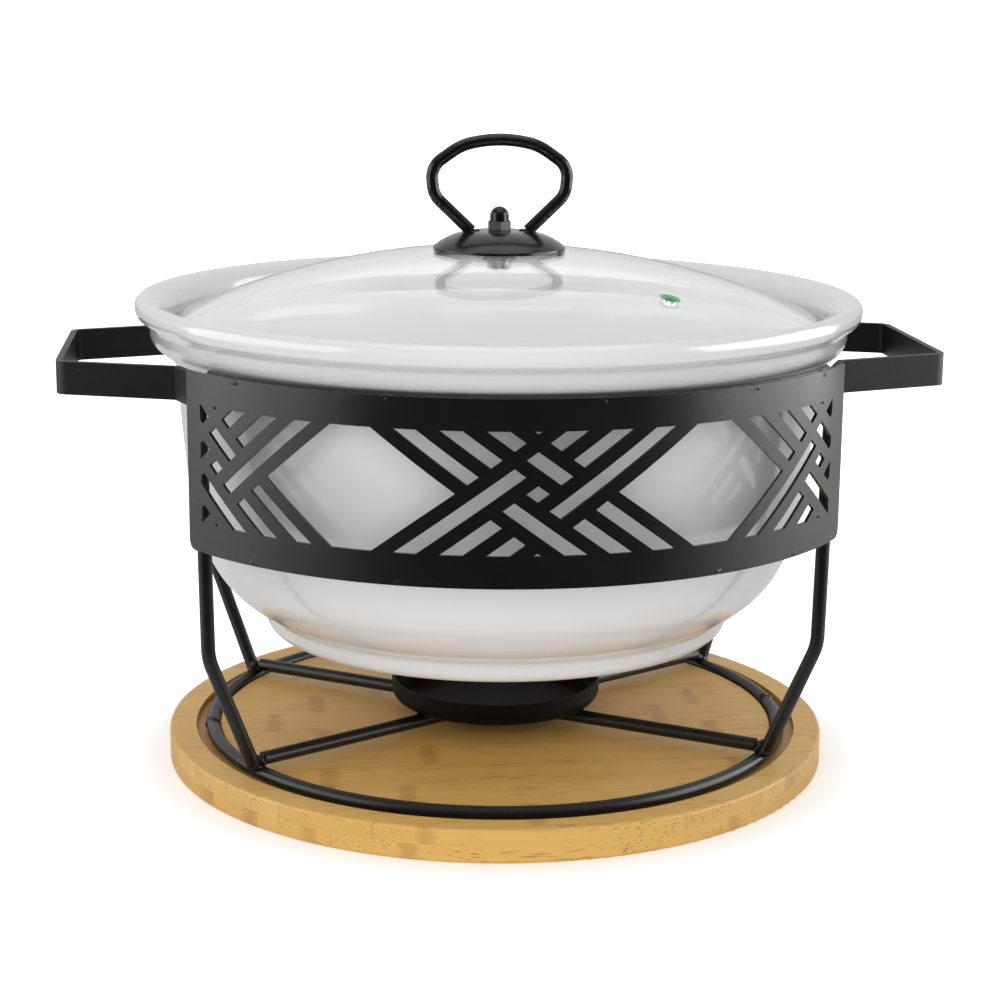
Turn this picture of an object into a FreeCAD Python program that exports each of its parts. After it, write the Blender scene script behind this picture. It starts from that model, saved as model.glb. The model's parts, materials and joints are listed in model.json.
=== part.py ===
"""Fondue pot set: a bamboo board, a lattice stand for a tealight, a glazed pot and a glass lid.

Millimetres, +Z up. The origin is the centre of the board's underside. The stand's two strap
handles point along +X and -X, and the front of the set faces -Y.
"""
import FreeCAD, Part
import math
import os

Vector = FreeCAD.Vector
UP = Vector(0, 0, 1)
GAP = 0.05                          # weld gap between neighbouring pieces of the stand

# Bamboo board with its ring groove
BOARD_R = 125.0
BOARD_T = 12.0
BOARD_EASE = 1.2
GROOVE_IN_R = 105.6
GROOVE_OUT_R = 115.0
GROOVE_FLOOR = 9.4

# Wire of the stand
WIRE_R = 2.5
RING_R = 108.8
RING_Z = 12.0
LEG_ANGLE = 57.3                    # from the front or back centre line
LEG_TOP = (130.25, 145.8)           # radius, height
LEG_BEND = (128.8, 57.5)
LEG_FOOT = (109.8, RING_Z)
LEG_BEND_R = 20.0
ROD_Z = 16.4
ROD_END_R = 107.0

# Candle tray
TRAY_R = 40.0
TRAY_T = 1.0
TRAY_H = 9.2
TRAY_CORNER_R = 5.0

# Lattice bands
BAND_R = 134.0
BAND_T = 1.2
BAND_HALF = 58.2                    # half angle of each band
BAND_LOW = 97.7
BAND_TOP = 159.8
BAND_CORNER_R = 3.5
WINDOW_MIDDLE = 128.9
WINDOW_HALF = 20.4                  # half height of the pierced zone
WINDOW_S = 126.3                    # half length of the pierced zone, along the arc
LINE_ANGLE = math.radians(36.1)
CELL = 7.6                          # bar or slot width, along the arc
MOTIF_HALF = 3.5 * CELL             # half length of the middle motif's diamond, along the arc
MOTIF_PITCH = 117.9
END_WIDTH = 0.9                     # width of an end motif against the middle one
PATTERN_SHIFT = -1.6                # from the band's middle to the middle motif, along the arc
TOP_WIRE_Z = 158.3
LOW_WIRE_Z = 100.4
TOP_WIRE_HALF = 53.9
LOW_WIRE_HALF = 56.0

# Strap handles
STRAP_T = 2.4
STRAP_LOW = 146.2
STRAP_TOP = 157.9
STRAP_X = 160.3                     # outer face of the grip
STRAP_CORNER_Y = 37.5
TAB_END = (131.2, 54.3)              # radius, angle from the front centre line
TAB_BEND = (128.3, 66.3)

# Pot
FOOT_BOTTOM = 51.6
FOOT_RECESS = 57.5
LEDGE_Z = 164.8
LEDGE_R = 122.8

# Lid
LID_R = 121.0
LID_EDGE_Z = 167.2
LID_BOTTOM = LEDGE_Z + 0.1
GLASS_T = 4.0
DISC_R = 24.5
DISC_LOW = 192.3
DISC_TOP = 199.2
DISC_GAP = 0.2                      # between the cover's edge and the glass
VENT_R = 2.6
VENT_AT = 81.2
VENT_ANGLE = -49.1
LOOP_WIRE_R = 2.25
BOLT_R = 2.5
NUT_FLATS = 8.0
NUT_TOP = 208.1


def at(r, z):
    """A point of a profile in the XZ plane."""
    return Vector(r, 0, z)


def line(a, b):
    return Part.makeLine(at(*a), at(*b))


def curve(points):
    """A smooth edge through the points, in the XZ plane."""
    spline = Part.BSplineCurve()
    spline.interpolate([at(*p) for p in points])
    return spline.toShape()


def arc(a, middle, b):
    return Part.Arc(at(*a), at(*middle), at(*b)).toShape()


def turned(edges):
    """A solid of revolution about the Z axis, from the closed edges of half its section."""
    face = Part.Face(Part.Wire(edges))
    solid = face.revolve(Vector(), UP, 360)
    if solid.Volume < 0:
        solid.reverse()
    return solid


def polygon(points):
    """A closed list of straight edges through the profile points."""
    return [line(a, b) for a, b in zip(points, points[1:] + points[:1])]


def polar(r, angle, z=0.0):
    """A point at an angle in degrees from +X."""
    a = math.radians(angle)
    return Vector(r * math.cos(a), r * math.sin(a), z)


def rounded_path(points, radii):
    """A wire of straight runs joined by tangent arcs, one radius for each inner point."""
    edges = []
    start = points[0]
    for before, corner, after, radius in zip(points, points[1:], points[2:], radii):
        u = (before - corner).normalize()
        v = (after - corner).normalize()
        half = u.getAngle(v) / 2
        reach = radius / math.tan(half)
        first, last = corner + u * reach, corner + v * reach
        inward = (u + v).normalize()
        middle = corner + inward * (radius / math.sin(half) - radius)
        edges += [Part.makeLine(start, first), Part.Arc(first, middle, last).toShape()]
        start = last
    edges.append(Part.makeLine(start, points[-1]))
    return Part.Wire(edges)


def rod_along(path, radius):
    """A round wire swept along a path."""
    start = path.Edges[0]
    direction = start.tangentAt(start.FirstParameter)
    section = Part.Wire(Part.makeCircle(radius, start.Vertexes[0].Point, direction))
    return path.makePipeShell([section], True, False)


def straight_rod(a, b, radius):
    run = b - a
    return Part.makeCylinder(radius, run.Length, a, run)


def ring_arc(ring_r, z, wire_r, from_angle, to_angle):
    """A piece of round wire bent to an arc about the Z axis."""
    section = Part.Face(Part.Wire(Part.makeCircle(wire_r, at(ring_r, z), Vector(0, 1, 0))))
    bent = section.revolve(Vector(), UP, to_angle - from_angle)
    bent.rotate(Vector(), UP, from_angle)
    return bent


def bamboo_board():
    board = Part.makeCylinder(BOARD_R, BOARD_T)
    rims = [e for e in board.Edges if abs(e.Length - 2 * math.pi * BOARD_R) < 1.0]
    board = board.makeFillet(BOARD_EASE, rims)
    depth = BOARD_T - GROOVE_FLOOR + 1
    outer = Part.makeCylinder(GROOVE_OUT_R, depth, Vector(0, 0, GROOVE_FLOOR))
    inner = Part.makeCylinder(GROOVE_IN_R, depth, Vector(0, 0, GROOVE_FLOOR))
    return board.cut(outer.cut(inner))


def base_ring():
    return Part.makeTorus(RING_R, WIRE_R, Vector(0, 0, RING_Z))


def leg_azimuth(side, front):
    """Angle from +X of the leg on a side (1 right, -1 left) and an end (-1 front, 1 back)."""
    return math.degrees(math.atan2(front * math.cos(math.radians(LEG_ANGLE)),
                                   side * math.sin(math.radians(LEG_ANGLE))))


def leg(side, front):
    """A bent wire whose lower end is coped to sit on the base ring."""
    path = rounded_path([at(*LEG_TOP), at(*LEG_BEND), at(*LEG_FOOT)], [LEG_BEND_R])
    wire = rod_along(path, WIRE_R)
    seat = Part.makeTorus(RING_R, WIRE_R + GAP, Vector(0, 0, RING_Z))
    below = Part.makeBox(60, 20, RING_Z + 1.6, Vector(80, -10, 0))
    wire = largest(wire.cut(seat.fuse(below)))
    wire.rotate(Vector(), UP, leg_azimuth(side, front))
    return wire


def largest(shape):
    return max(shape.Solids, key=lambda solid: solid.Volume)


def cross_rods():
    """One long rod, and two half rods that butt against its sides."""
    a, b = leg_azimuth(-1, -1), leg_azimuth(1, 1)
    long_rod = straight_rod(polar(ROD_END_R, a, ROD_Z), polar(ROD_END_R, b, ROD_Z), WIRE_R)
    clear = straight_rod(polar(ROD_END_R, a, ROD_Z), polar(ROD_END_R, b, ROD_Z), WIRE_R + GAP)
    halves = []
    for side, front in ((-1, 1), (1, -1)):
        end = polar(ROD_END_R, leg_azimuth(side, front), ROD_Z)
        half = straight_rod(Vector(0, 0, ROD_Z), end, WIRE_R)
        halves.append(largest(half.cut(clear)))
    return long_rod, halves[0], halves[1]


def candle_tray():
    """A shallow pressed dish with a rounded lower edge."""
    low = ROD_Z + WIRE_R + GAP
    top = low + TRAY_H
    k = TRAY_CORNER_R * (1 - math.sqrt(0.5))
    inner_r = TRAY_CORNER_R - TRAY_T
    j = inner_r * (1 - math.sqrt(0.5))
    wall = TRAY_R - TRAY_T
    floor = low + TRAY_T
    return turned([
        line((0, low), (TRAY_R - TRAY_CORNER_R, low)),
        arc((TRAY_R - TRAY_CORNER_R, low), (TRAY_R - k, low + k), (TRAY_R, low + TRAY_CORNER_R)),
        line((TRAY_R, low + TRAY_CORNER_R), (TRAY_R, top)),
        line((TRAY_R, top), (wall, top)),
        line((wall, top), (wall, floor + inner_r)),
        arc((wall, floor + inner_r), (wall - j, floor + j), (wall - inner_r, floor)),
        line((wall - inner_r, floor), (0, floor)),
        line((0, floor), (0, low)),
    ])


def clip(shape, keep):
    """A convex outline cut by the half plane where keep(point) is positive."""
    result = []
    for p, q in zip(shape, shape[1:] + shape[:1]):
        kp, kq = keep(p), keep(q)
        if kp >= 0:
            result.append(p)
        if kp * kq < 0:
            t = kp / (kp - kq)
            result.append((p[0] + t * (q[0] - p[0]), p[1] + t * (q[1] - p[1])))
    return result


def cell_point(a, b):
    """Arc length and height of the lattice cell coordinates a and b, about a motif's centre."""
    drop = (b - a) * CELL / 2 * math.tan(LINE_ANGLE)
    return ((a + b) * CELL / 2, -drop)


def trimmed(shape):
    """An outline trimmed to the pierced zone and moved to its place on the band."""
    for keep in (lambda p: WINDOW_HALF - p[1], lambda p: WINDOW_HALF + p[1],
                 lambda p: WINDOW_S - p[0], lambda p: WINDOW_S + p[0]):
        shape = clip(shape, keep)
    return [(s + PATTERN_SHIFT, WINDOW_MIDDLE + h) for s, h in shape]


def slot_outline(a_range, b_range, centre, width):
    """A slot between diagonal bars of a motif: arc length and height."""
    (a0, a1), (b0, b1) = a_range, b_range
    shape = [cell_point(a, b) for a, b in ((a0, b0), (a1, b0), (a1, b1), (a0, b1))]
    return trimmed([(centre + width * s, h) for s, h in shape])


def hexagon_outline(side):
    """The open hexagon between the middle motif and the narrower one at an end."""
    run = WINDOW_HALF / math.tan(LINE_ANGLE)
    near, far = MOTIF_HALF, MOTIF_PITCH - END_WIDTH * MOTIF_HALF
    top = [(near + run, WINDOW_HALF), (far - END_WIDTH * run, WINDOW_HALF)]
    low = [(s, -h) for s, h in reversed(top)]
    return trimmed([(side * s, h) for s, h in [(near, 0)] + top + [(far, 0)] + low])


def motif_slots():
    """Slots of one woven motif as ranges of a and b; the bars stand on the odd numbers."""
    far, edge, stop, half = 12.0, 3.5, 2.5, 0.5

    def band_of(n):
        return (n - half, n + half)

    slots = [(band_of(0), band_of(0)), (band_of(2), (-stop, half))]
    slots += [(band_of(n), (-far, -edge)) for n in (-2, 0, 2)]
    slots += [(band_of(n), (edge, far)) for n in (0, 2)]
    slots += [((-far, -edge), band_of(n)) for n in (0, 2)]
    slots += [((edge, far), band_of(n)) for n in (-2, 0)]
    slots += [(band_of(-2), (-half, far))]
    slots += [((-far, half), band_of(-2)), ((-half, far), band_of(2))]
    slots += [((edge, far), (-far, -edge)), ((-far, -edge), (edge, far))]
    return slots


def window_outlines():
    """Every pierced outline of a band: the motifs' slots and the hexagons between them."""
    outlines = [hexagon_outline(-1), hexagon_outline(1)]
    for centre, width in ((-MOTIF_PITCH, END_WIDTH), (0, 1.0), (MOTIF_PITCH, END_WIDTH)):
        outlines += [slot_outline(a, b, centre, width) for a, b in motif_slots()]
    return [o for o in outlines if len(o) > 2 and outline_area(o) > 0.8]


def outline_area(points):
    total = sum(p[0] * q[1] - q[0] * p[1] for p, q in zip(points, points[1:] + points[:1]))
    return abs(total) / 2


def window_cutter(outline):
    """A straight prism through the sheet at the front, from an outline in arc length and height."""
    middle = sum(s for s, _ in outline) / len(outline)
    points = [Vector(BAND_R * math.sin((s - middle) / BAND_R), -BAND_R - 2, z) for s, z in outline]
    prism = Part.Face(Part.makePolygon(points + points[:1])).extrude(Vector(0, 16, 0))
    prism.rotate(Vector(), UP, math.degrees(middle / BAND_R))
    return prism


def corner_cutter(side):
    """What a rounded lower corner of the front band takes away, at one end."""
    end = BAND_R * math.radians(BAND_HALF)
    r = BAND_CORNER_R
    k = r * (1 - math.sqrt(0.5))
    y = -BAND_R - 2

    def flat(s, z):
        return Vector(side * (s - end), y, z)

    rounded = Part.Arc(flat(end, BAND_LOW + r), flat(end - k, BAND_LOW + k),
                       flat(end - r, BAND_LOW)).toShape()
    outside = [Part.makeLine(flat(end - r, BAND_LOW), flat(end - r, BAND_LOW - 1)),
               Part.makeLine(flat(end - r, BAND_LOW - 1), flat(end + 2, BAND_LOW - 1)),
               Part.makeLine(flat(end + 2, BAND_LOW - 1), flat(end + 2, BAND_LOW + r)),
               Part.makeLine(flat(end + 2, BAND_LOW + r), flat(end, BAND_LOW + r))]
    prism = Part.Face(Part.Wire([rounded] + outside)).extrude(Vector(0, 8, 0))
    prism.rotate(Vector(), UP, side * BAND_HALF)
    return prism


def lattice_band():
    """The front band: a rolled sheet pierced with woven motifs."""
    section = Part.Face(Part.Wire(polygon([
        (BAND_R - BAND_T, BAND_LOW), (BAND_R, BAND_LOW), (BAND_R, BAND_TOP), (BAND_R - BAND_T, BAND_TOP)])))
    sheet = section.revolve(Vector(), UP, 2 * BAND_HALF)
    sheet.rotate(Vector(), UP, -90 - BAND_HALF)
    cutters = [window_cutter(o) for o in window_outlines()]
    cutters += [corner_cutter(-1), corner_cutter(1)]
    return largest(sheet.cut(cutters))


def mirrored_back(shape):
    """The same shape turned half way round to the back."""
    copy = shape.copy()
    copy.rotate(Vector(), UP, 180)
    return copy


def offset_path(points, distance):
    """The polyline moved sideways by a distance, with mitred corners."""
    moved = []
    for i, p in enumerate(points):
        before = (p - points[i - 1]).normalize() if i else None
        after = (points[i + 1] - p).normalize() if i + 1 < len(points) else None
        u, v = before or after, after or before
        left = (u.cross(UP) + v.cross(UP)).normalize()
        moved.append(p + left * (distance / left.dot(u.cross(UP))))
    return moved


def strap_handle(side):
    """A flat strap bent to a U, with a tab at each end tucked behind the bands."""
    grip_x = STRAP_X - STRAP_T / 2
    tabs = [polar(r, angle - 90) for r, angle in (TAB_END, TAB_BEND)]
    front = tabs + [Vector(grip_x, -STRAP_CORNER_Y, 0)]
    route = front + [Vector(p.x, -p.y, 0) for p in reversed(front)]
    outline = offset_path(route, STRAP_T / 2) + offset_path(route, -STRAP_T / 2)[::-1]
    face = Part.Face(Part.makePolygon(outline + outline[:1]))
    face.translate(Vector(0, 0, STRAP_LOW))
    strap = face.extrude(Vector(0, 0, STRAP_TOP - STRAP_LOW))
    strap = strap.makeFillet(5.0, upright_edges(strap, offset_path(route, STRAP_T / 2)[2:4]))
    strap = strap.makeFillet(5.0 - STRAP_T, upright_edges(strap, offset_path(route, -STRAP_T / 2)[2:4]))
    if side < 0:
        strap.rotate(Vector(), UP, 180)
    return strap


def upright_edges(solid, places):
    """The vertical edges that stand on the given plan points."""
    found = []
    for edge in solid.Edges:
        a, b = edge.Vertexes[0].Point, edge.Vertexes[-1].Point
        stands = math.hypot(a.x - b.x, a.y - b.y) < 0.01
        if stands and any(math.hypot(a.x - p.x, a.y - p.y) < 0.05 for p in places):
            found.append(edge)
    return found


def pot():
    """The glazed pot: foot ring, bowl, rolled rim and an inner ledge for the lid."""
    foot = [(86.0, FOOT_BOTTOM), (87.2, 53.0), (88.2, 57.2), (89.8, 59.6)]
    wall = [foot[-1], (98.6, 65.6), (105.3, 73.0), (110.0, 82.0), (114.3, 98.0), (116.8, 117.0),
            (118.3, 135.0), (119.0, 147.0), (120.3, 153.0), (123.2, 156.4), (126.6, 158.8), (128.5, 161.6),
            (128.9, 164.6), (129.3, 166.8), (131.2, 168.2), (133.1, 169.6), (134.0, 172.0), (133.7, 174.4),
            (132.2, 175.9), (130.2, 176.2), (128.0, 175.6), (125.8, 174.2), (123.8, 171.4),
            (LEDGE_R, LEDGE_Z)]
    inside = [(116.4, LEDGE_Z - 0.8), (114.2, 160.0), (113.2, 152.0), (112.7, 140.0), (111.3, 120.0),
              (108.6, 98.0), (104.2, 84.0), (98.2, 75.4), (90.0, 69.2), (78.0, 65.2), (60.0, 63.4)]
    return turned([
        line((0, FOOT_RECESS), (80.0, FOOT_RECESS)),
        line((80.0, FOOT_RECESS), (81.6, FOOT_BOTTOM)),
        line((81.6, FOOT_BOTTOM), foot[0]),
        curve(foot),
        curve(wall),
        line(wall[-1], (117.4, LEDGE_Z)),
        line((117.4, LEDGE_Z), inside[0]),
        curve(inside),
        line(inside[-1], (0, inside[-1][1])),
        line((0, inside[-1][1]), (0, FOOT_RECESS)),
    ])


def dome_centre():
    """Height of the centre of the lid's spherical outer face."""
    under_disc = DISC_LOW - DISC_GAP
    rise = under_disc - LID_EDGE_Z
    return (under_disc + LID_EDGE_Z) / 2 + (DISC_R ** 2 - LID_R ** 2) / (2 * rise)


def dome_radius():
    return math.hypot(LID_R, LID_EDGE_Z - dome_centre())


def dome_z(radius, r):
    return dome_centre() + math.sqrt(radius ** 2 - r ** 2)


def lid_glass():
    """A domed glass lid with a centre hole and a drilled steam vent."""
    outer, inner = dome_radius(), dome_radius() - GLASS_T
    hole = 4.5
    seat_r = math.sqrt(inner ** 2 - (LID_BOTTOM - dome_centre()) ** 2)
    glass = turned([
        arc((hole, dome_z(outer, hole)), (70, dome_z(outer, 70)), (LID_R, LID_EDGE_Z)),
        line((LID_R, LID_EDGE_Z), (LID_R, LID_BOTTOM + 1.2)),
        line((LID_R, LID_BOTTOM + 1.2), (LID_R - 1.2, LID_BOTTOM)),
        line((LID_R - 1.2, LID_BOTTOM), (seat_r, LID_BOTTOM)),
        arc((seat_r, LID_BOTTOM), (70, dome_z(inner, 70)), (hole, dome_z(inner, hole))),
        line((hole, dome_z(inner, hole)), (hole, dome_z(outer, hole))),
    ])
    foot = polar(VENT_AT, VENT_ANGLE, dome_z(outer, VENT_AT))
    normal = (foot - Vector(0, 0, dome_centre())).normalize()
    bore = Part.makeCylinder(VENT_R, 3 * GLASS_T, foot - normal * 2 * GLASS_T, normal)
    flare = Part.makeCone(VENT_R, VENT_R + 1.2, 1.2, foot - normal * 0.5, normal)
    return glass.cut(bore).cut(flare)


def lid_disc():
    """The spun cover under the knob."""
    top, low = DISC_TOP, DISC_LOW
    return turned([
        line((2.7, top - 1.2), (2.7, top)),
        line((2.7, top), (9.0, top)),
        curve([(9.0, top), (14.0, top - 0.7), (19.0, top - 2.4), (23.4, low + 1.9)]),
        line((23.4, low + 1.9), (DISC_R, low + 1.0)),
        line((DISC_R, low + 1.0), (DISC_R, low)),
        line((DISC_R, low), (DISC_R - 1.4, low)),
        curve([(DISC_R - 1.4, low), (18.4, top - 3.6), (13.6, top - 2.0), (9.0, top - 1.2)]),
        line((9.0, top - 1.2), (2.7, top - 1.2)),
    ])


def lid_loop():
    """The bent wire handle that stands on the cover."""
    top = Vector(0, 0, 233.2)
    right = [at(10.6, DISC_TOP - 0.1), at(24.4, 212.3), at(25.4, 222.6), at(14.0, 230.6)]
    left = [Vector(-p.x, 0, p.z) for p in reversed(right)]
    path = rounded_path(right + [top] + left, [9.0, 8.0, 20.0, 46.0, 20.0, 8.0, 9.0])
    return largest(rod_along(path, LOOP_WIRE_R).cut(lid_disc()))


def washer(inner, outer, low, high):
    return Part.makeCylinder(outer, high - low, Vector(0, 0, low)).cut(
        Part.makeCylinder(inner, high - low, Vector(0, 0, low)))


def hexagon(flats, low, high):
    r = flats / math.sqrt(3)
    corners = [polar(r, 60 * i + 30, low) for i in range(6)]
    return Part.Face(Part.makePolygon(corners + corners[:1])).extrude(Vector(0, 0, high - low))


def cap_nut():
    """An acorn nut: hexagon, collar and round cap, with a blind bore for the bolt."""
    low, hex_top, cap_r = DISC_TOP + GAP, DISC_TOP + 3.6, 3.5
    trim = Part.makeCone(NUT_FLATS / 2 + 3.6, NUT_FLATS / 2 - 0.1, 3.7, Vector(0, 0, low), UP)
    body = hexagon(NUT_FLATS, low, hex_top).common(trim)
    neck = Part.makeCylinder(cap_r, NUT_TOP - cap_r - low, Vector(0, 0, low))
    cap = Part.makeSphere(cap_r, Vector(0, 0, NUT_TOP - cap_r))
    bore = Part.makeCylinder(BOLT_R + 0.03, NUT_TOP - 2.2 - low, Vector(0, 0, low))
    return body.fuse([neck, cap]).removeSplitter().cut(bore)


def lid_hardware():
    """The washers and the bolt that clamp the knob through the glass."""
    glass_top = dome_z(dome_radius(), 4.5) + 0.12
    glass_low = dome_z(dome_radius() - GLASS_T, 8.0) - 0.12
    seal = washer(2.7, 8.0, glass_top, DISC_TOP - 1.2 - GAP)
    pad = washer(2.7, 6.0, glass_low - 1.2, glass_low)
    plate = washer(2.7, 6.0, glass_low - 2.3, glass_low - 1.2 - GAP)
    seat = glass_low - 2.3 - GAP
    shank = Part.makeCylinder(BOLT_R, NUT_TOP - 2.6 - seat, Vector(0, 0, seat))
    head = Part.makeCylinder(4.4, 2.8, Vector(0, 0, seat - 2.8))
    head = head.makeFillet(1.0, [e for e in head.Edges if abs(e.BoundBox.ZMax - seat + 2.8) < 0.01])
    slot = Part.makeBox(1.2, 10, 1.0, Vector(-0.6, -5, seat - 2.8))
    return seal, pad, plate, shank.fuse(head).cut(slot)


def all_parts():
    band, strap = lattice_band(), strap_handle(1)
    top_wire = ring_arc(BAND_R - BAND_T - WIRE_R - GAP, TOP_WIRE_Z, WIRE_R,
                        -90 - TOP_WIRE_HALF, -90 + TOP_WIRE_HALF)
    low_wire = ring_arc(BAND_R - BAND_T - WIRE_R - GAP, LOW_WIRE_Z, WIRE_R,
                        -90 - LOW_WIRE_HALF, -90 + LOW_WIRE_HALF)
    long_rod, half_left, half_right = cross_rods()
    seal, pad, plate, bolt = lid_hardware()
    return {
        "bamboo_board": bamboo_board(),
        "base_ring": base_ring(),
        "leg_front_left": leg(-1, -1),
        "leg_front_right": leg(1, -1),
        "leg_back_left": leg(-1, 1),
        "leg_back_right": leg(1, 1),
        "cross_rod_long": long_rod,
        "cross_rod_half_left": half_left,
        "cross_rod_half_right": half_right,
        "candle_tray": candle_tray(),
        "lattice_band_front": band,
        "lattice_band_back": mirrored_back(band),
        "rest_wire_front": top_wire,
        "rest_wire_back": mirrored_back(top_wire),
        "lower_wire_front": low_wire,
        "lower_wire_back": mirrored_back(low_wire),
        "handle_strap_right": strap,
        "handle_strap_left": mirrored_back(strap),
        "pot": pot(),
        "lid_glass": lid_glass(),
        "lid_seal": seal,
        "lid_disc": lid_disc(),
        "lid_loop": lid_loop(),
        "lid_cap_nut": cap_nut(),
        "lid_under_pad": pad,
        "lid_under_washer": plate,
        "lid_bolt": bolt,
    }


def main():
    os.makedirs("parts", exist_ok=True)
    for name, shape in all_parts().items():
        box = shape.BoundBox
        print(f"{name:22s} valid {shape.isValid()} solids {len(shape.Solids)} volume {shape.Volume:10.1f} "
              f"x {box.XMin:7.1f} {box.XMax:7.1f}  y {box.YMin:7.1f} {box.YMax:7.1f}  "
              f"z {box.ZMin:6.1f} {box.ZMax:6.1f}")
        shape.exportStep(f"parts/{name}.step")


main()
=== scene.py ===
"""Fondue pot set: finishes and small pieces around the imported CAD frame.

The scene is in metres, and a number times MM is in millimetres. +X points to the right handle,
-Y to the front and +Z up from the table.
"""
import json
import math
import bpy
from mathutils import Matrix, Vector


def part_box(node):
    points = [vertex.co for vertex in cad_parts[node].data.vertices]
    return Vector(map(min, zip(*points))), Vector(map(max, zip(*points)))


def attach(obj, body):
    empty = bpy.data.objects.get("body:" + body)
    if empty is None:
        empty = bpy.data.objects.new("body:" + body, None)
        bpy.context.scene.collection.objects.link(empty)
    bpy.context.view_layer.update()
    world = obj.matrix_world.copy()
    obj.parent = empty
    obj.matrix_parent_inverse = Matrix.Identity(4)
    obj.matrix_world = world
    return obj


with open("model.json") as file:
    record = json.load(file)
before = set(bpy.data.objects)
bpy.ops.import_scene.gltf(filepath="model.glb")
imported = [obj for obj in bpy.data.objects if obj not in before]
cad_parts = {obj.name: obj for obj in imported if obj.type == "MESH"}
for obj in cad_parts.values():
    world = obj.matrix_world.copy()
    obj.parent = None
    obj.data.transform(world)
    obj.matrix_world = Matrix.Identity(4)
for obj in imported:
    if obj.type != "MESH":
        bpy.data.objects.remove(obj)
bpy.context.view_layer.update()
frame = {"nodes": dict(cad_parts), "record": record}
MM = 0.001

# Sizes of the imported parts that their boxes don't give
RING_R = 108.8 * MM
LEG_ANGLE = math.radians(57.3)      # from the front or back centre line
BAND_T = 1.2 * MM
GLASS_R = 121.0 * MM
GLASS_EDGE_Z = 167.2 * MM
COVER_R = 24.5 * MM                 # the spun cover under the knob
GLASS_AT_COVER_Z = 192.1 * MM
VENT_AT = 81.2 * MM                 # from the lid's axis
VENT_ANGLE = math.radians(-49.1)

# Camera
CAMERA_REACH = 0.8265               # from the set's axis
CAMERA_HEIGHT = 0.28387
CAMERA_AZIMUTH = math.radians(6.3)  # round to the left of the front
CAMERA_PITCH = math.radians(12.746)
CAMERA_ROLL = math.radians(0.5)
CAMERA_LENS = 80.25
CAMERA_SHIFT = 0.003
SENSOR = 36.0


def make_camera():
    data = bpy.data.cameras.new("camera")
    data.lens, data.sensor_width, data.shift_x = CAMERA_LENS, SENSOR, CAMERA_SHIFT
    camera = bpy.data.objects.new("camera", data)
    bpy.context.scene.collection.objects.link(camera)
    place = Vector((-math.sin(CAMERA_AZIMUTH) * CAMERA_REACH,
                    -math.cos(CAMERA_AZIMUTH) * CAMERA_REACH, CAMERA_HEIGHT))
    turn = (Matrix.Rotation(-CAMERA_AZIMUTH, 4, "Z") @ Matrix.Rotation(math.pi / 2 - CAMERA_PITCH, 4, "X")
            @ Matrix.Rotation(CAMERA_ROLL, 4, "Z"))
    camera.matrix_world = Matrix.Translation(place) @ turn
    bpy.context.scene.camera = camera
    bpy.context.scene.view_settings.view_transform = "Standard"


# ---------------------------------------------------------------- shader building

class Reading:
    """What a shader node gives out. Arithmetic on it adds Math nodes."""

    def __init__(self, finish, socket):
        self.finish, self.socket = finish, socket

    def reckon(self, operation, *values):
        return self.finish.node("ShaderNodeMath", {"operation": operation}, values)

    def __add__(self, other):
        return self.reckon("ADD", self, other)

    def __radd__(self, other):
        return self.reckon("ADD", other, self)

    def __sub__(self, other):
        return self.reckon("SUBTRACT", self, other)

    def __rsub__(self, other):
        return self.reckon("SUBTRACT", other, self)

    def __mul__(self, other):
        return self.reckon("MULTIPLY", self, other)

    def __rmul__(self, other):
        return self.reckon("MULTIPLY", other, self)

    def __truediv__(self, other):
        return self.reckon("DIVIDE", self, other)

    def __pow__(self, other):
        return self.reckon("POWER", self, other)

    def __gt__(self, other):
        return self.reckon("GREATER_THAN", self, other)

    def __lt__(self, other):
        return self.reckon("LESS_THAN", self, other)

    def floor(self):
        return self.reckon("FLOOR", self)

    def absolute(self):
        return self.reckon("ABSOLUTE", self)

    def part(self):
        return self.reckon("FRACT", self)

    def between(self, low, high):
        """0 at low, 1 at high, smooth in between."""
        return self.finish.node("ShaderNodeMapRange", {"interpolation_type": "SMOOTHSTEP"},
                                {"Value": self, "From Min": low, "From Max": high})


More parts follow.
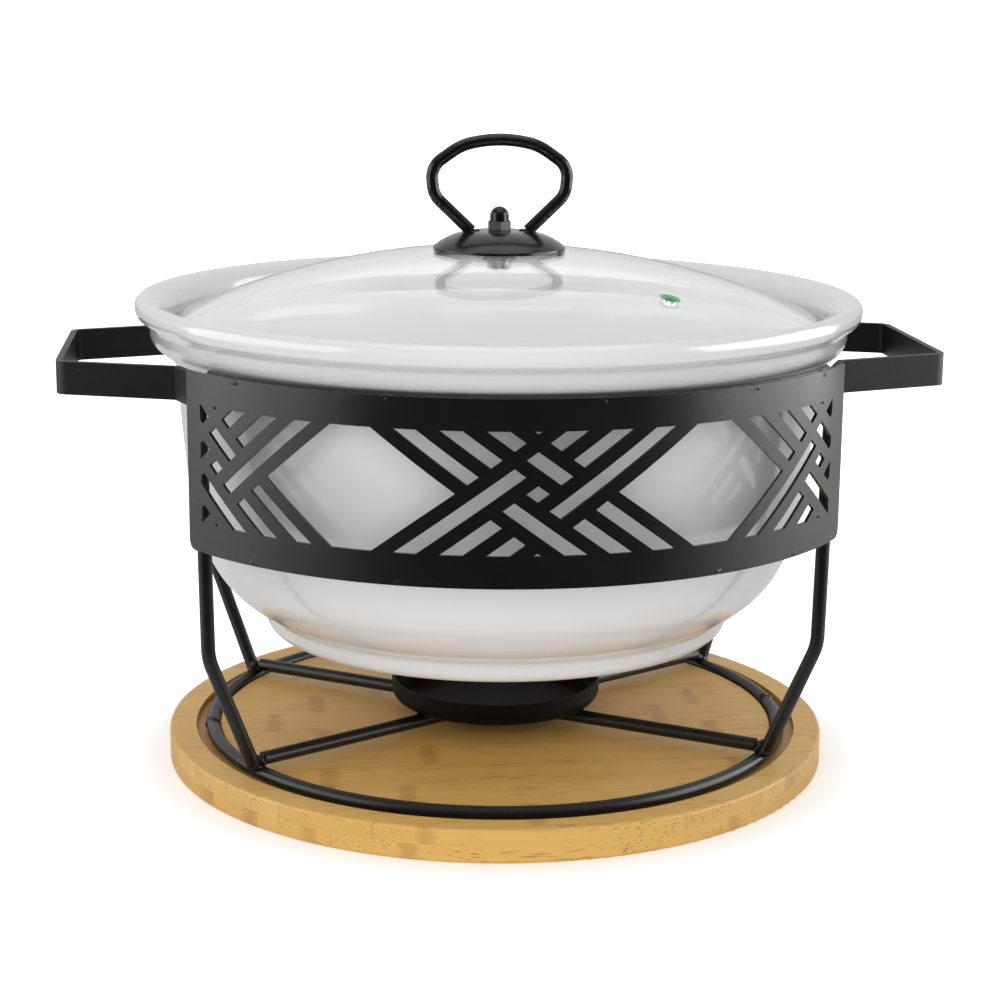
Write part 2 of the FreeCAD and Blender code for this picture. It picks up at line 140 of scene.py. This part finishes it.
class Finish:
    """A material being made. node() adds any node and gives back one of its outputs."""

    def __init__(self, name, **constants):
        self.material = bpy.data.materials.new(name)
        self.material.use_nodes = True
        self.tree = self.material.node_tree
        self.shader = self.tree.nodes["Principled BSDF"]
        self.place = self.node("ShaderNodeTexCoord", output="Object")
        for words, value in constants.items():
            self.put(self.shader.inputs[self.label(words)], value)

    @staticmethod
    def label(words):
        return words.replace("_", " ").title().replace("Ior", "IOR")

    def put(self, socket, value):
        if isinstance(value, Reading):
            self.tree.links.new(value.socket, socket)
        elif socket.type == "RGBA" and len(value) == 3:
            socket.default_value = (*value, 1.0)
        else:
            socket.default_value = value

    def node(self, kind, settings=None, inputs=(), output=0):
        made = self.tree.nodes.new(kind)
        for key, value in (settings or {}).items():
            if key == "stops":
                self.set_stops(made.color_ramp, value)
            else:
                setattr(made, key, value)
        for key, value in (inputs.items() if isinstance(inputs, dict) else enumerate(inputs)):
            self.put(made.inputs[key], value)
        return Reading(self, made.outputs[output])

    @staticmethod
    def set_stops(ramp, stops):
        for element, (position, colour) in zip(ramp.elements, stops):
            element.position, element.color = position, (*colour, 1.0)
        for position, colour in stops[2:]:
            ramp.elements.new(position).color = (*colour, 1.0)

    def mix(self, a, b, factor):
        return self.node("ShaderNodeMix", {"data_type": "RGBA"}, {0: factor, 6: a, 7: b}, output=2)

    def stretched(self, scale):
        return self.node("ShaderNodeMapping", {}, {"Vector": self.place, "Scale": scale})

    def noise(self, scale, detail=3.0, roughness=0.5, at=None):
        return self.node("ShaderNodeTexNoise", {}, {"Vector": at or self.place, "Scale": scale,
                                                    "Detail": detail, "Roughness": roughness})

    def cells(self, scale, at=None):
        """Distance to the nearest of many scattered points."""
        return self.node("ShaderNodeTexVoronoi", {}, {"Vector": at or self.place, "Scale": scale}, "Distance")

    def axes(self):
        parts = self.node("ShaderNodeSeparateXYZ", {}, [self.place]).socket.node
        return [Reading(self, parts.outputs[i]) for i in range(3)]

    def surface(self, **links):
        for words, value in links.items():
            self.put(self.shader.inputs[self.label(words)], value)

    def bump(self, height, strength, distance):
        normal = self.node("ShaderNodeBump", {}, {"Height": height, "Strength": strength,
                                                  "Distance": distance}, "Normal")
        self.put(self.shader.inputs["Normal"], normal)


def radius_of(x, y):
    """Distance from the set's axis."""
    return (x * x + y * y) ** 0.5


# ---------------------------------------------------------------- finishes

def bamboo():
    """Pressed bamboo strips along X, with fibre bundles that show as dashes, and as dots on end grain."""
    f = Finish("oiled_bamboo", ior=1.48, coat_weight=0.12, coat_roughness=0.35)
    x, y, z = f.axes()
    ply, strip_width, knot_pitch = 6.0 * MM, 21.0 * MM, 148.0 * MM
    layer = (z / ply).floor()
    strip_at = y / strip_width + layer * 0.37
    strip = strip_at.floor() + layer * 17.0
    tint = f.node("ShaderNodeTexWhiteNoise", {"noise_dimensions": "1D"}, {"W": strip}, "Value")
    grain = f.noise(1.0, 5.0, 0.62, f.stretched((9.0, 420.0, 420.0)))
    broad = f.noise(1.0, 3.0, 0.5, f.stretched((3.0, 75.0, 75.0)))
    cloud = f.noise(14.0, 2.0)
    dashes = f.cells(1.0, f.stretched((70.0, 1150.0, 1150.0)))
    crowd = f.noise(1.0, 2.0, 0.5, f.stretched((18.0, 160.0, 160.0))).between(0.38, 0.66)
    pores = (1.0 - dashes.between(0.16, 0.42)) * crowd

    along = x / knot_pitch + tint * 7.3
    knot_wave = f.noise(1.0, 2.0, 0.5, f.stretched((40.0, 260.0, 260.0)))
    knot = 1.0 - ((along.part() - 0.5).absolute() + (knot_wave - 0.5) * 0.035).between(0.006, 0.030)
    knot = knot * (0.35 + 0.65 * broad)
    seam = (strip_at.part() - 0.5).absolute().between(0.485, 0.499)

    tone = f.node("ShaderNodeValToRGB",
                  {"stops": [(0.0, (0.620, 0.270, 0.042)), (1.0, (0.930, 0.640, 0.240)),
                             (0.38, (0.770, 0.420, 0.095)), (0.68, (0.860, 0.530, 0.150))]},
                  [0.10 + 0.34 * grain + 0.30 * broad + 0.22 * tint + 0.18 * cloud])
    colour = f.mix(tone, (0.430, 0.170, 0.036), knot * 0.55)
    colour = f.mix(colour, (0.330, 0.135, 0.035), pores * 0.62)
    colour = f.mix(colour, (0.360, 0.150, 0.045), seam * 0.30)
    # Painted shade in the ring groove: its walls and floor are painted darker, where the recess lies in
    # shade.
    groove_shade_r, groove_shade_half, groove_shade_below = 111.5 * MM, 4.2 * MM, 11.6 * MM
    groove_shade = ((radius_of(x, y) - groove_shade_r).absolute() < groove_shade_half) * (z < groove_shade_below)
    # the painted shade's dark brown, laid over the groove
    colour = f.mix(colour, (0.300, 0.110, 0.025), groove_shade * 0.45)
    f.surface(base_color=colour, roughness=0.40 + 0.16 * grain + 0.10 * pores)
    f.bump(grain * 0.35 - pores * 0.8 - knot * 0.2, 0.35, 0.00025)
    return f.material


def black_coat(name, colour, roughness, texture=1.0, sheen=0.5):
    """Satin powder coat: fine orange peel, a little unevenness in gloss, and rare pale dust."""
    f = Finish(name, ior=1.5, specular_ior_level=sheen)
    peel = f.noise(1500.0, 2.0, 0.55)
    patch = f.noise(38.0, 3.0, 0.6)
    fine = f.noise(5200.0, 1.0, 0.5)
    grit = f.cells(330.0)
    dust = (1.0 - grit.between(0.035, 0.06)) * (f.noise(55.0, 1.0) > 0.63)
    base = f.mix(colour, [c * 1.45 + 0.001 for c in colour], patch * 0.8)
    base = f.mix(base, (0.24, 0.24, 0.235), dust * 0.7)
    f.surface(base_color=base, roughness=roughness + 0.14 * (patch - 0.5) + 0.10 * (fine - 0.5))
    f.bump(peel * 0.8 + fine * 0.3 + dust * 0.6, 0.30 * texture, 0.00012)
    return f.material


def white_glaze():
    """Glossy white glaze over porcelain; the foot's standing rim is left as dry biscuit."""
    f = Finish("white_glaze", ior=1.5, coat_weight=0.9, coat_roughness=0.035, coat_ior=1.52)
    z = f.axes()[2]
    dry_low, dry_high = 51.0 * MM, 52.4 * MM
    pool = f.noise(21.0, 2.0, 0.5)
    ripple = f.noise(120.0, 2.0, 0.5)
    pin = (1.0 - f.cells(240.0).between(0.02, 0.035)) * (f.noise(40.0, 1.0) > 0.66)
    dry = (z + (ripple - 0.5) * 0.5 * MM < dry_high) * (z > dry_low)
    colour = f.mix((0.850, 0.851, 0.850), (0.820, 0.823, 0.825), pool)
    colour = f.mix(colour, (0.46, 0.42, 0.37), pin * 0.5)
    colour = f.mix(colour, (0.690, 0.655, 0.600), dry)
    f.surface(base_color=colour, roughness=0.20 + 0.05 * pool + 0.5 * dry)
    f.bump(pool * 1.2 + ripple * 0.18 - pin * 0.1, 0.10, 0.0006)
    return f.material


def clear_glass():
    """Tempered glass with a green-grey ground edge. Its shadow is almost clear."""
    f = Finish("clear_glass", ior=1.47, transmission_weight=1.0)
    x, y = f.axes()[:2]
    haze = f.noise(30.0, 3.0, 0.55)
    smear = f.noise(1.0, 3.0, 0.6, f.stretched((14.0, 55.0, 20.0)))
    edge = radius_of(x, y).between(GLASS_R - 1.8 * MM, GLASS_R - 0.6 * MM)
    colour = f.mix((0.945, 0.948, 0.946), (0.66, 0.80, 0.74), edge)
    f.surface(base_color=colour, roughness=0.012 + 0.02 * haze * smear + 0.28 * edge)
    f.bump(haze, 0.03, 0.0005)
    in_shadow = f.node("ShaderNodeLightPath", output="Is Shadow Ray")
    clear = f.node("ShaderNodeBsdfTransparent", {}, {"Color": (0.86, 0.87, 0.865)})
    glass = Reading(f, f.shader.outputs[0])
    both = f.node("ShaderNodeMixShader", {}, [in_shadow, glass, clear])
    f.tree.links.new(both.socket, f.tree.nodes["Material Output"].inputs["Surface"])
    return f.material


def vent_green():
    """The cut wall of the vent hole, where the glass shows its own green."""
    f = Finish("cut_glass_green", ior=1.5, coat_weight=0.6, coat_roughness=0.1)
    scratch = f.noise(2600.0, 3.0, 0.6)
    colour = f.mix((0.045, 0.30, 0.125), (0.16, 0.56, 0.30), scratch)
    f.surface(base_color=colour, roughness=0.22 + 0.2 * scratch)
    f.bump(scratch, 0.3, 0.00008)
    return f.material


def silicone():
    """Matt grey rubber with a little dust."""
    f = Finish("grey_silicone", ior=1.42)
    fine = f.noise(1800.0, 2.0)
    dust = f.noise(240.0, 3.0).between(0.55, 0.8)
    f.surface(base_color=f.mix((0.50, 0.50, 0.49), (0.62, 0.62, 0.60), dust), roughness=0.55 + 0.15 * fine)
    f.bump(fine, 0.2, 0.00008)
    return f.material


def turned_steel():
    """Zinc-bright steel with fine turning marks about the Z axis."""
    f = Finish("turned_steel", metallic=1.0)
    x, y = f.axes()[:2]
    marks = f.node("ShaderNodeTexNoise", {"noise_dimensions": "1D"},
                   {"W": radius_of(x, y) * 6000.0, "Scale": 1.0, "Detail": 2.0})
    stain = f.noise(420.0, 3.0)
    f.surface(base_color=f.mix((0.60, 0.60, 0.61), (0.47, 0.46, 0.44), stain),
              roughness=0.24 + 0.18 * marks + 0.08 * stain)
    f.bump(marks, 0.25, 0.00005)
    return f.material


def pale_floor():
    """Seamless white. It glows to the camera, less beside the board, and its front is dark in reflections."""
    f = Finish("pale_floor", specular_ior_level=0.1, emission_strength=1.0)
    x, y = f.axes()[:2]
    shade_from, shade_to = 126.0 * MM, 175.0 * MM
    dark_from, dark_to = 130.0 * MM, 260.0 * MM
    soft = f.noise(2.2, 2.0)
    path = f.node("ShaderNodeLightPath").socket.node
    seen, mirrored, through = [Reading(f, path.outputs[label])
                               for label in ("Is Camera Ray", "Is Glossy Ray", "Is Transmission Ray")]
    away = 0.35 + 0.65 * radius_of(x, y).between(shade_from, shade_to)
    front = (0.0 - y).between(dark_from, dark_to)
    colour = f.mix((0.88, 0.88, 0.88), (0.90, 0.90, 0.90), soft)
    f.surface(base_color=f.mix(colour, (0.03, 0.03, 0.03), mirrored * front), roughness=0.6 + 0.1 * soft,
              emission_color=f.mix((0.0, 0.0, 0.0), (1.0, 1.0, 1.0), (seen + through) * away))
    return f.material


# ---------------------------------------------------------------- geometry nodes

def add_node(tree, kind, settings=None, inputs=(), output=0):
    """A node, set up first, with its inputs linked or filled; gives back one of its outputs."""
    made = tree.nodes.new(kind)
    for key, value in (settings or {}).items():
        setattr(made, key, value)
    for key, value in (inputs.items() if isinstance(inputs, dict) else enumerate(inputs)):
        if isinstance(value, bpy.types.NodeSocket):
            tree.links.new(value, made.inputs[key])
        else:
            made.inputs[key].default_value = value
    return made.outputs[output]


def add_object(name, mesh):
    made = bpy.data.objects.new(name, mesh)
    bpy.context.scene.collection.objects.link(made)
    return made


class Grower:
    """A Geometry Nodes tree being made, with named inputs."""

    def __init__(self, name, inputs):
        self.tree = bpy.data.node_groups.new(name, "GeometryNodeTree")
        self.tree.interface.new_socket("Geometry", in_out="INPUT", socket_type="NodeSocketGeometry")
        for label, kind in inputs.items():
            self.tree.interface.new_socket(label, in_out="INPUT", socket_type=kind)
        self.tree.interface.new_socket("Geometry", in_out="OUTPUT", socket_type="NodeSocketGeometry")
        self.start = self.tree.nodes.new("NodeGroupInput")
        self.end = self.tree.nodes.new("NodeGroupOutput")

    def given(self, label):
        return self.start.outputs[label]

    def node(self, kind, settings=None, inputs=()):
        return add_node(self.tree, kind, settings, inputs)

    def finish_with(self, geometry):
        self.tree.links.new(geometry, self.end.inputs[0])

    def grow(self, name, seeds, values):
        """The tree run on an object, as a plain mesh in a new object; the seed object is dropped."""
        modifier = seeds.modifiers.new("grow", "NODES")
        modifier.node_group = self.tree
        sockets = {s.name: s.identifier for s in self.tree.interface.items_tree
                   if s.item_type == "SOCKET" and s.in_out == "INPUT"}
        for label, value in values.items():
            modifier[sockets[label]] = value
        bpy.context.view_layer.update()
        mesh = bpy.data.meshes.new_from_object(seeds.evaluated_get(bpy.context.evaluated_depsgraph_get()))
        bpy.data.objects.remove(seeds)
        mesh.name = name
        return add_object(name, mesh)


def bead_tree():
    """Weld beads: an uneven bead on each point, sized and turned by the point's own attributes."""
    g = Grower("weld_beads", {"Lumps Per Metre": "NodeSocketFloat", "Lump Depth": "NodeSocketFloat",
                              "Seed": "NodeSocketInt", "Finish": "NodeSocketMaterial"})
    bead = g.node("GeometryNodeMeshIcoSphere", {}, {"Radius": 1.0, "Subdivisions": 3})
    size = g.node("GeometryNodeInputNamedAttribute", {"data_type": "FLOAT_VECTOR"}, {"Name": "size"})
    turn = g.node("GeometryNodeInputNamedAttribute", {"data_type": "FLOAT_VECTOR"}, {"Name": "turn"})
    beads = g.node("GeometryNodeInstanceOnPoints", {},
                   {"Points": g.given("Geometry"), "Instance": bead, "Rotation": turn, "Scale": size})
    solid = g.node("GeometryNodeRealizeInstances", {}, [beads])
    drawn = g.node("ShaderNodeTexNoise", {"noise_dimensions": "4D"},
                   {"Vector": g.node("GeometryNodeInputPosition"), "W": g.given("Seed"),
                    "Scale": g.given("Lumps Per Metre"), "Detail": 2.0})
    centred = g.node("ShaderNodeMath", {"operation": "SUBTRACT"}, [drawn, 0.5])
    depth = g.node("ShaderNodeMath", {"operation": "MULTIPLY"}, [centred, g.given("Lump Depth")])
    push = g.node("ShaderNodeVectorMath", {"operation": "SCALE"},
                  {"Vector": g.node("GeometryNodeInputNormal"), "Scale": depth})
    rough = g.node("GeometryNodeSetPosition", {}, {"Geometry": solid, "Offset": push})
    smooth = g.node("GeometryNodeSetShadeSmooth", {}, {"Geometry": rough})
    coated = g.node("GeometryNodeSetMaterial", {}, {"Geometry": smooth, "Material": g.given("Finish")})
    g.finish_with(coated)
    return g


def seed_points(spots):
    """A mesh of loose points that carry a size and a turn each, from (place, size, turn) for each."""
    mesh = bpy.data.meshes.new("seeds")
    mesh.from_pydata([spot[0] for spot in spots], [], [])
    for label, index in (("size", 1), ("turn", 2)):
        values = mesh.attributes.new(label, "FLOAT_VECTOR", "POINT").data
        for item, spot in zip(values, spots):
            item.vector = spot[index]
    return add_object("seeds", mesh)


# ---------------------------------------------------------------- welds of the stand

def polar(r, angle, z):
    """A place from its distance and direction from the set's axis, and its height."""
    return Vector((r * math.cos(angle), r * math.sin(angle), z))


def stand_welds():
    """Places, sizes and turns of the beads at every joint of the stand."""
    ring_low, ring_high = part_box("base_ring")
    ring_z = (ring_low.z + ring_high.z) / 2
    rod_low, rod_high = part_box("cross_rod_long")
    rod_z = (rod_low.z + rod_high.z) / 2
    azimuth = math.pi / 2 - LEG_ANGLE
    legs = (azimuth, math.pi - azimuth, math.pi + azimuth, -azimuth)
    ring_joints = (math.radians(182.0), math.radians(3.0))
    ring_seam = math.radians(-80.0)
    spots = []

    def bead(r, angle, z, size):
        """One bead; its size is in millimetres: outwards, along the arc, up."""
        spots.append((polar(r, angle, z), Vector(size) * MM, Vector((0, 0, angle))))

    # Leg feet and rod ends on the ring, and the ring's own joints
    for angle in legs:
        bead(RING_R + 1.6 * MM, angle, ring_z + 2.2 * MM, (2.8, 3.3, 1.8))
        bead(RING_R - 0.6 * MM, angle, rod_z - 1.2 * MM, (2.2, 2.6, 2.2))
        bead(RING_R + 0.4 * MM, angle + 0.012, rod_z, (2.0, 2.2, 2.1))
    for angle in ring_joints:
        bead(RING_R, angle, ring_z, (2.95, 1.5, 2.95))
        bead(RING_R - 0.6 * MM, angle + 0.02, ring_z + 1.2 * MM, (1.9, 1.6, 1.9))
    bead(RING_R, ring_seam, ring_z + 0.1 * MM, (2.62, 0.5, 2.62))

    # Tray on the rods
    tray_weld_r = 33.0 * MM
    tray_weld_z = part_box("candle_tray")[0].z - 0.3 * MM
    for angle in legs:
        for beside in (0.07, -0.07):
            bead(tray_weld_r, angle + beside, tray_weld_z, (3.4, 1.5, 1.0))

    # Wires, legs and handle tabs inside the bands, with the marks that show through outside
    band_low, band_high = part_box("lattice_band_front")
    band_r = -band_low.y
    inner_r = band_r - BAND_T
    mark_r = band_r - 0.05 * MM
    top_tacks = (-47.0, -21.5, 8.0, 33.0, 50.0)
    low_tacks = (-44.0, -20.0, 27.0, 43.0, 55.0)
    leg_top_z, leg_seam_z, leg_seam_turn = 145.7 * MM, 112.0 * MM, math.radians(0.6)
    tab_angle, tab_top_z = math.radians(57.4), 157.7 * MM
    wire_end, wire_end_z = math.radians(54.1), 157.6 * MM
    for facing in (-math.pi / 2, math.pi / 2):
        for along in top_tacks:
            angle = facing + math.radians(along)
            bead(inner_r - 0.6 * MM, angle, band_high.z - 0.9 * MM, (1.3, 2.6, 1.2))
            bead(mark_r, angle + 0.004, band_high.z - 1.2 * MM, (0.22, 1.6, 0.8))
        for along in low_tacks:
            angle = facing + math.radians(along)
            bead(inner_r - 0.5 * MM, angle, band_low.z + 1.0 * MM, (1.2, 2.4, 1.1))
            bead(mark_r, angle, band_low.z + 1.2 * MM, (0.22, 1.6, 0.8))
        for side in (-1, 1):
            leg = facing + side * LEG_ANGLE
            bead(inner_r - 1.6 * MM, leg, leg_top_z, (1.8, 2.6, 1.2))
            bead(inner_r - 0.8 * MM, leg + side * leg_seam_turn, leg_seam_z, (0.9, 1.1, 5.0))
            bead(inner_r - 0.9 * MM, facing + side * tab_angle, tab_top_z, (1.2, 3.2, 0.9))
            bead(inner_r - 2.2 * MM, facing + side * wire_end, wire_end_z, (1.9, 1.4, 1.6))
    return spots


def knob_welds():
    """The beads where the loop's two feet meet the cover."""
    foot_x, foot_z, lean = 10.6 * MM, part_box("lid_disc")[1].z - 0.55 * MM, 0.22
    return [(Vector((side * foot_x, 0, foot_z)), Vector((3.4, 3.0, 1.0)) * MM, Vector((0, side * lean, 0)))
            for side in (-1, 1)]


def make_welds(wire_coat, knob_coat):
    tree = bead_tree()
    stand = tree.grow("stand_welds", seed_points(stand_welds()),
                      {"Lumps Per Metre": 620.0, "Lump Depth": 0.9 * MM, "Seed": 4, "Finish": wire_coat})
    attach(stand, "stand")
    knob = tree.grow("loop_welds", seed_points(knob_welds()),
                     {"Lumps Per Metre": 700.0, "Lump Depth": 0.5 * MM, "Seed": 9, "Finish": knob_coat})
    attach(knob, "lid")


# ---------------------------------------------------------------- vent hole

def make_vent(green):
    """A lining in the drilled vent, thicker below and with a thin lip on top, in the colour of cut glass."""
    # The glass's outer face is a cap of a sphere through its edge and the cover's edge.
    rise = GLASS_AT_COVER_Z - GLASS_EDGE_Z
    centre_z = (GLASS_AT_COVER_Z + GLASS_EDGE_Z) / 2 + (COVER_R ** 2 - GLASS_R ** 2) / (2 * rise)
    sphere_r = math.hypot(GLASS_R, GLASS_EDGE_Z - centre_z)
    place = polar(VENT_AT, VENT_ANGLE, centre_z + math.sqrt(sphere_r ** 2 - VENT_AT ** 2))
    normal = (place - Vector((0, 0, centre_z))).normalized()
    at_hole = Matrix.Translation(place) @ normal.to_track_quat("Z", "Y").to_matrix().to_4x4()
    # From the lower outer edge round to the lower inner edge: radius and height from the glass's face, in mm
    section = [(2.56, -3.7), (2.56, -0.45), (3.70, 0.04), (3.70, 0.12), (3.5, 0.16),
               (2.30, -0.30), (1.20, -3.7)]
    sides, corners = 48, len(section)
    points = [at_hole @ (Matrix.Rotation(2 * math.pi * i / sides, 4, "Z") @ Vector((r * MM, 0, h * MM)))
              for i in range(sides) for r, h in section]
    faces = []
    for i in range(sides):
        this, following = i * corners, (i + 1) % sides * corners
        for j in range(corners):
            k = (j + 1) % corners
            faces.append((this + j, following + j, following + k, this + k))
    mesh = bpy.data.meshes.new("vent_wall")
    mesh.from_pydata(points, [], faces)
    mesh.materials.append(green)
    piece = add_object("vent_wall", mesh)
    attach(piece, "lid")


# ---------------------------------------------------------------- finishes on the frame

def dress(material, *nodes):
    """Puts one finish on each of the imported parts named."""
    for name in nodes:
        node = frame["nodes"][name]
        node.data.materials.clear()
        node.data.materials.append(material)


def dress_frame():
    """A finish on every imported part; gives back the wires' and the knob's, which their welds share."""
    rods = black_coat("black_wire_coat", (0.0035, 0.0035, 0.0036), 0.34)
    strap = black_coat("black_strap_coat", (0.0030, 0.0030, 0.0031), 0.40, 1.0, 0.35)
    tray = black_coat("black_tray_coat", (0.0022, 0.0022, 0.0023), 0.55, 1.0, 0.12)
    sheet = black_coat("black_sheet_coat", (0.0030, 0.0030, 0.0031), 0.33, 1.0, 0.7)
    knob = black_coat("black_knob_coat", (0.0025, 0.0025, 0.0026), 0.20, 0.5)
    stand = frame["record"]["behaviour"]["bodies"]["stand"]
    dress(sheet, "lattice_band_front", "lattice_band_back")
    dress(strap, "handle_strap_left", "handle_strap_right")
    dress(tray, "candle_tray")
    dress(rods, *[n for n in stand if "wire" in n or "leg" in n or "rod" in n or "ring" in n])
    dress(knob, "lid_disc", "lid_loop", "lid_cap_nut")
    dress(bamboo(), "bamboo_board")
    dress(white_glaze(), "pot")
    dress(clear_glass(), "lid_glass")
    dress(silicone(), "lid_seal", "lid_under_pad")
    dress(turned_steel(), "lid_under_washer", "lid_bolt")
    return rods, knob


# ---------------------------------------------------------------- studio

def make_floor():
    half = 60.0
    corners = [(-half, -half, 0), (half, -half, 0), (half, half, 0), (-half, half, 0)]
    mesh = bpy.data.meshes.new("floor")
    mesh.from_pydata(corners, [], [(0, 1, 2, 3)])
    mesh.materials.append(pale_floor())
    add_object("floor", mesh)


def softbox(name, place, aim, size, power, lights=True, mirrored=True):
    """An area lamp; it can light surfaces, show in reflections, or both."""
    data = bpy.data.lights.new(name, "AREA")
    data.shape, data.size, data.size_y, data.energy = "RECTANGLE", size[0], size[1], power
    lamp = bpy.data.objects.new(name, data)
    lamp.matrix_world = (Matrix.Translation(place)
                         @ (Vector(aim) - Vector(place)).to_track_quat("-Z", "Y").to_matrix().to_4x4())
    lamp.visible_camera, lamp.visible_diffuse, lamp.visible_glossy = False, lights, mirrored
    bpy.context.scene.collection.objects.link(lamp)


def white_backdrop():
    """White to the camera; as a light it is dim in front of the set and bright behind and above it."""
    world = bpy.data.worlds.new("studio")
    world.use_nodes = True
    tree = world.node_tree
    towards = add_node(tree, "ShaderNodeTexCoord", output="Generated")
    parts = add_node(tree, "ShaderNodeSeparateXYZ", {}, [towards]).node.outputs
    behind = add_node(tree, "ShaderNodeMapRange", {}, {
        "Value": parts["Y"], "From Min": -0.35, "From Max": 0.45, "To Min": 0.04, "To Max": 0.70})
    above = add_node(tree, "ShaderNodeMapRange", {}, {
        "Value": parts["Z"], "From Min": 0.25, "From Max": 0.85, "To Min": 0.0, "To Max": 0.50})
    light = add_node(tree, "ShaderNodeMath", {"operation": "MAXIMUM"}, [behind, above])
    rays = add_node(tree, "ShaderNodeLightPath").node.outputs
    seen = add_node(tree, "ShaderNodeMath", {"operation": "MAXIMUM"},
                    [rays["Is Camera Ray"], rays["Is Transmission Ray"]])
    strength = add_node(tree, "ShaderNodeMapRange", {}, {"Value": seen, "To Min": light, "To Max": 1.05})
    background = tree.nodes["Background"]
    background.inputs["Color"].default_value = (1.0, 1.0, 1.0, 1.0)
    tree.links.new(strength, background.inputs["Strength"])
    bpy.context.scene.world = world


def light_studio():
    """Panels at the sides for the reflections, and fills that only light."""
    white_backdrop()
    left, left_aim = (-0.75, -0.15, 0.30), (0, -0.05, 0.10)
    right, right_aim = (0.74, -0.12, 0.30), (0, -0.09, 0.10)
    side_size = (0.9, 0.6)
    softbox("left_panel", left, left_aim, side_size, 3.4, lights=False)
    softbox("right_panel", right, right_aim, side_size, 6.3, lights=False)
    softbox("left_fill", left, left_aim, side_size, 2.0, mirrored=False)
    softbox("right_fill", right, right_aim, side_size, 2.3, mirrored=False)
    softbox("front_fill", (-0.2, -1.3, 0.40), (0, 0, 0.12), (1.4, 0.9), 9.5, mirrored=False)
    softbox("top_softbox", (0.0, -0.05, 1.0), (0, 0, 0.1), (0.8, 0.8), 1.8)


make_camera()
make_welds(*dress_frame())
make_vent(vent_green())
make_floor()
light_studio()
